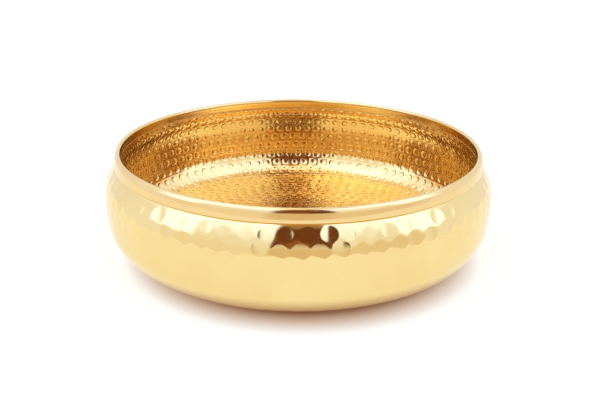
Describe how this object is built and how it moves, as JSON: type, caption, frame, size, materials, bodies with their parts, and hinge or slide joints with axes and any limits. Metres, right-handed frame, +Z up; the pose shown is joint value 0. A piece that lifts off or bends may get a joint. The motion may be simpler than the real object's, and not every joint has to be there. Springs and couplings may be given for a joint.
{
  "type": "urli bowl",
  "caption": "Wide round double-walled brass bowl with a hammered belly, a ring-dimpled inside and a smooth soldered rim collar, for floating flowers and candles.",
  "frame": {"origin": "on the bowl's axis, at the surface it stands on", "axes": "+Z up along the bowl's axis of symmetry, X and Y level"},
  "size_m": [0.3049, 0.305, 0.085],
  "materials": {
    "outer_brass": "planished and polished, lacquered",
    "inner_brass": "ring-punched and polished, lacquered",
    "rim_brass": "smooth, lathe polished",
    "wire_brass": "drawn, dull",
    "hard_solder": "brazed fillet, dressed",
    "plug_brass": "filed and brushed"
  },
  "bodies": {
    "root": {"outer_shell": "outer_brass", "inner_bowl": "inner_brass", "rim_collar": "rim_brass", "rim_core_wire": "wire_brass", "outer_solder_seam": "hard_solder", "inner_solder_seam": "hard_solder", "vent_plug": "plug_brass"}
  },
  "joints": []
}
